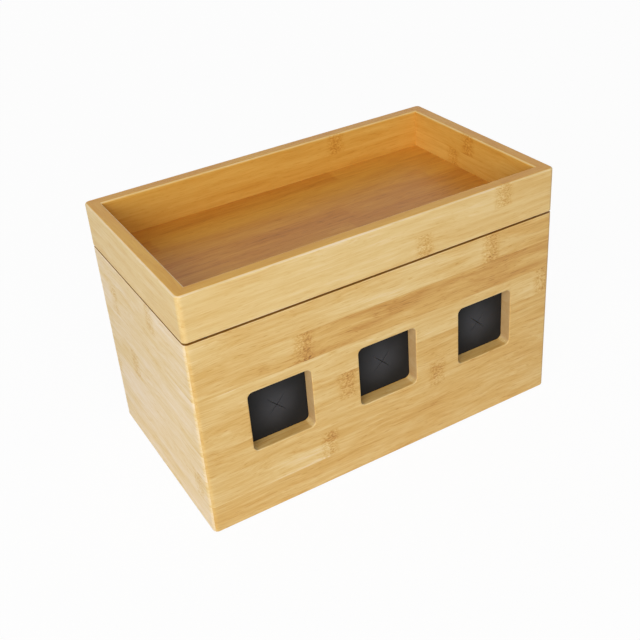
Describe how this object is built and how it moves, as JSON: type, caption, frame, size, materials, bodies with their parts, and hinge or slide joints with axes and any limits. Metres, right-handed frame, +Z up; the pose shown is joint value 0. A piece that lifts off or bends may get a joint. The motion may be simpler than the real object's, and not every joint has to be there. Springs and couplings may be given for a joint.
{
  "type": "cable management box",
  "caption": "Bamboo box that hides a socket strip and its leads, with a lift-off tray lid and slit rubber windows for leads in its front and rear walls.",
  "frame": {"origin": "middle of the surface that the box stands on, under the middle of the box", "axes": "+X along the front to the right, +Y from the front to the back, +Z up; the front with the three windows faces -Y"},
  "size_m": [0.2642, 0.15, 0.1717],
  "materials": {
    "bamboo_walls": "edge-laminated bamboo boards, sanded and clear satin lacquered",
    "bamboo_tray": "edge-laminated bamboo rails, sanded and clear satin lacquered",
    "bamboo_boards": "thin bamboo boards and strips, sanded and clear satin lacquered",
    "sheet_rubber": "soft black rubber sheet, matt, slit crosswise",
    "retainer_plastic": "moulded black ABS, fine matt texture",
    "screw_steel": "zinc plated, cross recess",
    "foot_rubber": "moulded black rubber",
    "pad_felt": "dark brown self-adhesive bumper pad"
  },
  "bodies": {
    "box_body": {"front_panel": "bamboo_walls", "back_panel": "bamboo_walls", "left_panel": "bamboo_walls", "right_panel": "bamboo_walls", "base_panel": "bamboo_boards", "foot_front_left": "foot_rubber", "foot_front_right": "foot_rubber", "foot_back_left": "foot_rubber", "foot_back_right": "foot_rubber", "lid_pad_front_left": "pad_felt", "lid_pad_front_right": "pad_felt", "lid_pad_back_left": "pad_felt", "lid_pad_back_right": "pad_felt", "left_window_sheet": "sheet_rubber", "centre_window_sheet": "sheet_rubber", "right_window_sheet": "sheet_rubber", "rear_window_sheet": "sheet_rubber", "left_window_retainer": "retainer_plastic", "centre_window_retainer": "retainer_plastic", "right_window_retainer": "retainer_plastic", "rear_window_retainer": "retainer_plastic", "retainer_screws": "screw_steel"},
    "lid": {"tray_front_rail": "bamboo_tray", "tray_back_rail": "bamboo_tray", "tray_left_rail": "bamboo_tray", "tray_right_rail": "bamboo_tray", "tray_floor": "bamboo_boards", "tray_front_batten": "bamboo_boards", "tray_back_batten": "bamboo_boards", "tray_left_batten": "bamboo_boards", "tray_right_batten": "bamboo_boards"},
    "left_window_leaf_top": {"left_window_leaf_top": "sheet_rubber"},
    "left_window_leaf_right": {"left_window_leaf_right": "sheet_rubber"},
    "left_window_leaf_bottom": {"left_window_leaf_bottom": "sheet_rubber"},
    "left_window_leaf_left": {"left_window_leaf_left": "sheet_rubber"},
    "centre_window_leaf_top": {"centre_window_leaf_top": "sheet_rubber"},
    "centre_window_leaf_right": {"centre_window_leaf_right": "sheet_rubber"},
    "centre_window_leaf_bottom": {"centre_window_leaf_bottom": "sheet_rubber"},
    "centre_window_leaf_left": {"centre_window_leaf_left": "sheet_rubber"},
    "right_window_leaf_top": {"right_window_leaf_top": "sheet_rubber"},
    "right_window_leaf_right": {"right_window_leaf_right": "sheet_rubber"},
    "right_window_leaf_bottom": {"right_window_leaf_bottom": "sheet_rubber"},
    "right_window_leaf_left": {"right_window_leaf_left": "sheet_rubber"},
    "rear_window_leaf_top": {"rear_window_leaf_top": "sheet_rubber"},
    "rear_window_leaf_right": {"rear_window_leaf_right": "sheet_rubber"},
    "rear_window_leaf_bottom": {"rear_window_leaf_bottom": "sheet_rubber"},
    "rear_window_leaf_left": {"rear_window_leaf_left": "sheet_rubber"}
  },
  "joints": [
    {"name": "lid_lift", "type": "slide", "parent": "box_body", "child": "lid", "axis": [0, 0, 1], "range_m": [0, 0.1]},
    {"name": "left_window_leaf_top_flex", "type": "hinge", "parent": "box_body", "child": "left_window_leaf_top", "pos_m": [-0.077, -0.0655, 0.0783], "axis": [1, 0, 0], "range_deg": [-60, 60], "stiffness_Nm_per_rad": 0.0005},
    {"name": "left_window_leaf_bottom_flex", "type": "hinge", "parent": "box_body", "child": "left_window_leaf_bottom", "pos_m": [-0.077, -0.0655, 0.0645], "axis": [-1, 0, 0], "range_deg": [-60, 60], "stiffness_Nm_per_rad": 0.0005},
    {"name": "left_window_leaf_right_flex", "type": "hinge", "parent": "box_body", "child": "left_window_leaf_right", "pos_m": [-0.0701, -0.0655, 0.0714], "axis": [0, 0, -1], "range_deg": [-60, 60], "stiffness_Nm_per_rad": 0.0005},
    {"name": "left_window_leaf_left_flex", "type": "hinge", "parent": "box_body", "child": "left_window_leaf_left", "pos_m": [-0.0839, -0.0655, 0.0714], "axis": [0, 0, 1], "range_deg": [-60, 60], "stiffness_Nm_per_rad": 0.0005},
    {"name": "centre_window_leaf_top_flex", "type": "hinge", "parent": "box_body", "child": "centre_window_leaf_top", "pos_m": [0, -0.0655, 0.0783], "axis": [1, 0, 0], "range_deg": [-60, 60], "stiffness_Nm_per_rad": 0.0005},
    {"name": "centre_window_leaf_bottom_flex", "type": "hinge", "parent": "box_body", "child": "centre_window_leaf_bottom", "pos_m": [0, -0.0655, 0.0645], "axis": [-1, 0, 0], "range_deg": [-60, 60], "stiffness_Nm_per_rad": 0.0005},
    {"name": "centre_window_leaf_right_flex", "type": "hinge", "parent": "box_body", "child": "centre_window_leaf_right", "pos_m": [0.0069, -0.0655, 0.0714], "axis": [0, 0, -1], "range_deg": [-60, 60], "stiffness_Nm_per_rad": 0.0005},
    {"name": "centre_window_leaf_left_flex", "type": "hinge", "parent": "box_body", "child": "centre_window_leaf_left", "pos_m": [-0.0069, -0.0655, 0.0714], "axis": [0, 0, 1], "range_deg": [-60, 60], "stiffness_Nm_per_rad": 0.0005},
    {"name": "right_window_leaf_top_flex", "type": "hinge", "parent": "box_body", "child": "right_window_leaf_top", "pos_m": [0.077, -0.0655, 0.0783], "axis": [1, 0, 0], "range_deg": [-60, 60], "stiffness_Nm_per_rad": 0.0005},
    {"name": "right_window_leaf_bottom_flex", "type": "hinge", "parent": "box_body", "child": "right_window_leaf_bottom", "pos_m": [0.077, -0.0655, 0.0645], "axis": [-1, 0, 0], "range_deg": [-60, 60], "stiffness_Nm_per_rad": 0.0005},
    {"name": "right_window_leaf_right_flex", "type": "hinge", "parent": "box_body", "child": "right_window_leaf_right", "pos_m": [0.0839, -0.0655, 0.0714], "axis": [0, 0, -1], "range_deg": [-60, 60], "stiffness_Nm_per_rad": 0.0005},
    {"name": "right_window_leaf_left_flex", "type": "hinge", "parent": "box_body", "child": "right_window_leaf_left", "pos_m": [0.0701, -0.0655, 0.0714], "axis": [0, 0, 1], "range_deg": [-60, 60], "stiffness_Nm_per_rad": 0.0005},
    {"name": "rear_window_leaf_top_flex", "type": "hinge", "parent": "box_body", "child": "rear_window_leaf_top", "pos_m": [0, 0.0655, 0.0783], "axis": [-1, 0, 0], "range_deg": [-60, 60], "stiffness_Nm_per_rad": 0.0005},
    {"name": "rear_window_leaf_bottom_flex", "type": "hinge", "parent": "box_body", "child": "rear_window_leaf_bottom", "pos_m": [0, 0.0655, 0.0645], "axis": [1, 0, 0], "range_deg": [-60, 60], "stiffness_Nm_per_rad": 0.0005},
    {"name": "rear_window_leaf_right_flex", "type": "hinge", "parent": "box_body", "child": "rear_window_leaf_right", "pos_m": [-0.0069, 0.0655, 0.0714], "axis": [0, 0, -1], "range_deg": [-60, 60], "stiffness_Nm_per_rad": 0.0005},
    {"name": "rear_window_leaf_left_flex", "type": "hinge", "parent": "box_body", "child": "rear_window_leaf_left", "pos_m": [0.0069, 0.0655, 0.0714], "axis": [0, 0, 1], "range_deg": [-60, 60], "stiffness_Nm_per_rad": 0.0005}
  ]
}
